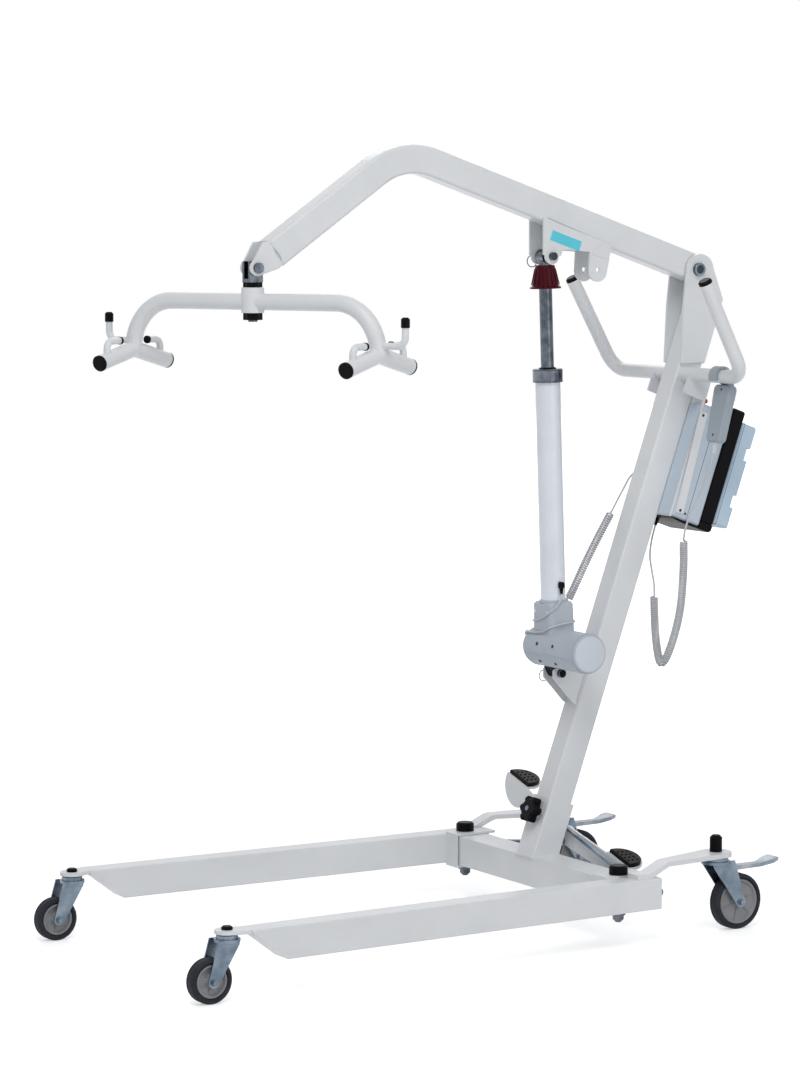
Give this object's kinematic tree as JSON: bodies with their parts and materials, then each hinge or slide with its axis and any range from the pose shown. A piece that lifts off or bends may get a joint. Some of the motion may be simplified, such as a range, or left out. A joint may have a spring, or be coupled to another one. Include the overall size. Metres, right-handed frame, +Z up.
{
  "type": "patient lift hoist",
  "caption": "Wheeled patient lift: leaning mast, bent boom raised by an electric actuator, swivelling spreader with sling hooks, and legs that spread by a foot pedal.",
  "frame": {"origin": "on the floor midway between the two leg-pivot bolts", "axes": "+Z up; -Y to the front, where the legs and the boom point; +X to the side that the actuator's motor sticks out on"},
  "size_m": [0.6368, 1.3059, 1.3893],
  "materials": {
    "white_paint": "white powder coat, satin",
    "zinc_steel": "zinc plated sheet steel",
    "pedal_grey": "zinc plated, worn at the toe",
    "chrome": "bright chrome",
    "hub_grey": "grey moulded plastic",
    "tyre_grey": "dark grey tread",
    "black_plastic": "black moulded plastic",
    "silver_tube": "satin silver",
    "housing_grey": "light grey moulded plastic",
    "red_plastic": "red moulded plastic",
    "control_grey": "light blue-grey moulded plastic",
    "battery_grey": "blue-grey moulded plastic",
    "button_grey": "grey keys",
    "cord_grey": "grey curly cord sheath"
  },
  "bodies": {
    "hoist_frame": {"cross_beam": "white_paint", "frame_bolts": "chrome", "frame_caps": "black_plastic", "mast_socket": "white_paint", "mast_tube": "white_paint", "mast_plates": "white_paint", "push_handle": "white_paint", "control_bracket": "white_paint", "control_box": "control_grey", "battery_carrier": "black_plastic", "battery": "battery_grey", "handset": "control_grey", "handset_cord": "cord_grey", "actuator_cord": "cord_grey"},
    "knob": {"star_knob": "black_plastic"},
    "stop_key": {"stop_button": "red_plastic"},
    "up_key": {"up_button": "button_grey"},
    "down_key": {"down_button": "button_grey"},
    "foot_pedal": {"pedal_rocker": "white_paint", "pedal_pads": "black_plastic"},
    "boom": {"boom_tube": "white_paint", "boom_bracket": "white_paint", "boom_tip": "white_paint", "boom_bolts": "chrome"},
    "hanger_pin": {"tip_pin": "chrome"},
    "yoke": {"hanger_yoke": "chrome", "swivel_washers": "black_plastic"},
    "spreader": {"spreader_bar": "white_paint", "spreader_hooks": "white_paint", "spreader_caps": "black_plastic"},
    "actuator": {"actuator_housing": "housing_grey", "actuator_foot": "black_plastic", "actuator_tube": "silver_tube", "actuator_end_ring": "chrome"},
    "rod": {"actuator_rod": "chrome"},
    "collar": {"lowering_collar": "red_plastic"},
    "leg_right": {"leg_right": "white_paint", "leg_hinge_box_right": "white_paint", "rear_arm_right": "white_paint", "leg_caps_right": "black_plastic"},
    "link_right": {"tie_rod_right": "zinc_steel"},
    "caster_front_right": {"caster_fork_front_right": "zinc_steel"},
    "wheel_front_right": {"caster_hub_front_right": "hub_grey", "caster_tyre_front_right": "tyre_grey"},
    "caster_rear_right": {"caster_fork_rear_right": "zinc_steel"},
    "wheel_rear_right": {"caster_hub_rear_right": "hub_grey", "caster_tyre_rear_right": "tyre_grey"},
    "brake_right": {"brake_pedal_right": "pedal_grey"},
    "leg_left": {"leg_left": "white_paint", "leg_hinge_box_left": "white_paint", "rear_arm_left": "white_paint", "leg_caps_left": "black_plastic"},
    "link_left": {"tie_rod_left": "zinc_steel"},
    "caster_front_left": {"caster_fork_front_left": "zinc_steel"},
    "wheel_front_left": {"caster_hub_front_left": "hub_grey", "caster_tyre_front_left": "tyre_grey"},
    "caster_rear_left": {"caster_fork_rear_left": "zinc_steel"},
    "wheel_rear_left": {"caster_hub_rear_left": "hub_grey", "caster_tyre_rear_left": "tyre_grey"},
    "brake_left": {"brake_pedal_left": "pedal_grey"}
  },
  "joints": [
    {"name": "boom_lift", "type": "hinge", "parent": "hoist_frame", "child": "boom", "pos_m": [0, 0.325, 1.17], "axis": [-1, 0, 0], "range_deg": [-24.6, 20.5]},
    {"name": "actuator_tilt", "type": "hinge", "parent": "hoist_frame", "child": "actuator", "pos_m": [0, 0.033, 0.447], "axis": [-1, 0, 0], "range_deg": [-0.8, 0.7]},
    {"name": "rod_slide", "type": "slide", "parent": "actuator", "child": "rod", "axis": [0, -0.0347, 0.9994], "range_m": [-0.1335, 0.1115]},
    {"name": "lowering_collar_turn", "type": "hinge", "parent": "rod", "child": "collar", "pos_m": [0, 0.007, 1.1955], "axis": [0, -0.0347, 0.9994], "continuous": true},
    {"name": "hanger_pin_turn", "type": "hinge", "parent": "boom", "child": "hanger_pin", "pos_m": [0, -0.586, 1.179], "axis": [-1, 0, 0], "range_deg": [-20.6, 24.7]},
    {"name": "yoke_swing", "type": "hinge", "parent": "hanger_pin", "child": "yoke", "pos_m": [0, -0.586, 1.179], "axis": [-1, 0, 0], "range_deg": [-30, 30]},
    {"name": "spreader_swivel", "type": "hinge", "parent": "yoke", "child": "spreader", "pos_m": [0, -0.586, 1.1245], "axis": [0, 0, 1], "continuous": true},
    {"name": "leg_right_spread", "type": "hinge", "parent": "hoist_frame", "child": "leg_right", "pos_m": [0.25, 0, 0], "axis": [0, 0, 1], "range_deg": [0, 13]},
    {"name": "leg_left_spread", "type": "hinge", "parent": "hoist_frame", "child": "leg_left", "pos_m": [-0.25, 0, 0], "axis": [0, 0, -1], "range_deg": [0, 13]},
    {"name": "pedal_swing", "type": "hinge", "parent": "hoist_frame", "child": "foot_pedal", "pos_m": [0, 0.054, 0.15], "axis": [0, -1, 0], "range_deg": [0, 33.5]},
    {"name": "tie_rod_right_turn", "type": "hinge", "parent": "leg_right", "child": "link_right", "pos_m": [0.2391, 0.04178, 0.1], "axis": [0, 0, 1], "range_deg": [-13.9, 0]},
    {"name": "tie_rod_left_turn", "type": "hinge", "parent": "leg_left", "child": "link_left", "pos_m": [-0.2391, 0.04178, 0.1], "axis": [0, 0, -1], "range_deg": [-13.9, 0]},
    {"name": "caster_front_right_swivel", "type": "hinge", "parent": "leg_right", "child": "caster_front_right", "pos_m": [0.2868, -0.796, 0.1], "axis": [0, 0, 1], "continuous": true},
    {"name": "wheel_front_right_spin", "type": "hinge", "parent": "caster_front_right", "child": "wheel_front_right", "pos_m": [0.2868, -0.829, 0.0375], "axis": [1, 0, 0], "continuous": true},
    {"name": "caster_rear_right_swivel", "type": "hinge", "parent": "leg_right", "child": "caster_rear_right", "pos_m": [0.2546, 0.2074, 0.1], "axis": [0, 0, 1], "continuous": true},
    {"name": "wheel_rear_right_spin", "type": "hinge", "parent": "caster_rear_right", "child": "wheel_rear_right", "pos_m": [0.2546, 0.2514, 0.05], "axis": [1, 0, 0], "continuous": true},
    {"name": "brake_right_press", "type": "hinge", "parent": "caster_rear_right", "child": "brake_right", "pos_m": [0.2546, 0.2344, 0.111], "axis": [-1, 0, 0], "range_deg": [0, 12]},
    {"name": "caster_front_left_swivel", "type": "hinge", "parent": "leg_left", "child": "caster_front_left", "pos_m": [-0.2868, -0.796, 0.1], "axis": [0, 0, 1], "continuous": true},
    {"name": "wheel_front_left_spin", "type": "hinge", "parent": "caster_front_left", "child": "wheel_front_left", "pos_m": [-0.2868, -0.829, 0.0375], "axis": [1, 0, 0], "continuous": true},
    {"name": "caster_rear_left_swivel", "type": "hinge", "parent": "leg_left", "child": "caster_rear_left", "pos_m": [-0.2546, 0.2074, 0.1], "axis": [0, 0, 1], "continuous": true},
    {"name": "wheel_rear_left_spin", "type": "hinge", "parent": "caster_rear_left", "child": "wheel_rear_left", "pos_m": [-0.2546, 0.2514, 0.05], "axis": [1, 0, 0], "continuous": true},
    {"name": "brake_left_press", "type": "hinge", "parent": "caster_rear_left", "child": "brake_left", "pos_m": [-0.2546, 0.2344, 0.111], "axis": [-1, 0, 0], "range_deg": [0, 12]},
    {"name": "star_knob_turn", "type": "hinge", "parent": "hoist_frame", "child": "knob", "pos_m": [0, -0.00415, 0.196], "axis": [0, -0.9409, 0.3387], "continuous": true},
    {"name": "stop_press", "type": "slide", "parent": "hoist_frame", "child": "stop_key", "axis": [0, -0.3387, -0.9409], "range_m": [0, 0.004], "stiffness_N_per_m": 400, "springref_m": -0.002},
    {"name": "up_press", "type": "slide", "parent": "hoist_frame", "child": "up_key", "axis": [0, -0.9755, 0.2198], "range_m": [0, 0.0012], "stiffness_N_per_m": 500, "springref_m": -0.001},
    {"name": "down_press", "type": "slide", "parent": "hoist_frame", "child": "down_key", "axis": [0, -0.9755, 0.2198], "range_m": [0, 0.0012], "stiffness_N_per_m": 500, "springref_m": -0.001}
  ],
  "couplings": [
    {"joint": "leg_left_spread", "follows": "leg_right_spread", "ratio": 1},
    {"joint": "pedal_swing", "follows": "leg_right_spread", "ratio": 2.5692},
    {"joint": "tie_rod_right_turn", "follows": "leg_right_spread", "ratio": -1.0665},
    {"joint": "tie_rod_left_turn", "follows": "leg_right_spread", "ratio": -1.0665},
    {"joint": "rod_slide", "follows": "boom_lift", "m_per_rad": 0.31},
    {"joint": "actuator_tilt", "follows": "boom_lift", "ratio": 0.03},
    {"joint": "hanger_pin_turn", "follows": "boom_lift", "ratio": -1}
  ]
}
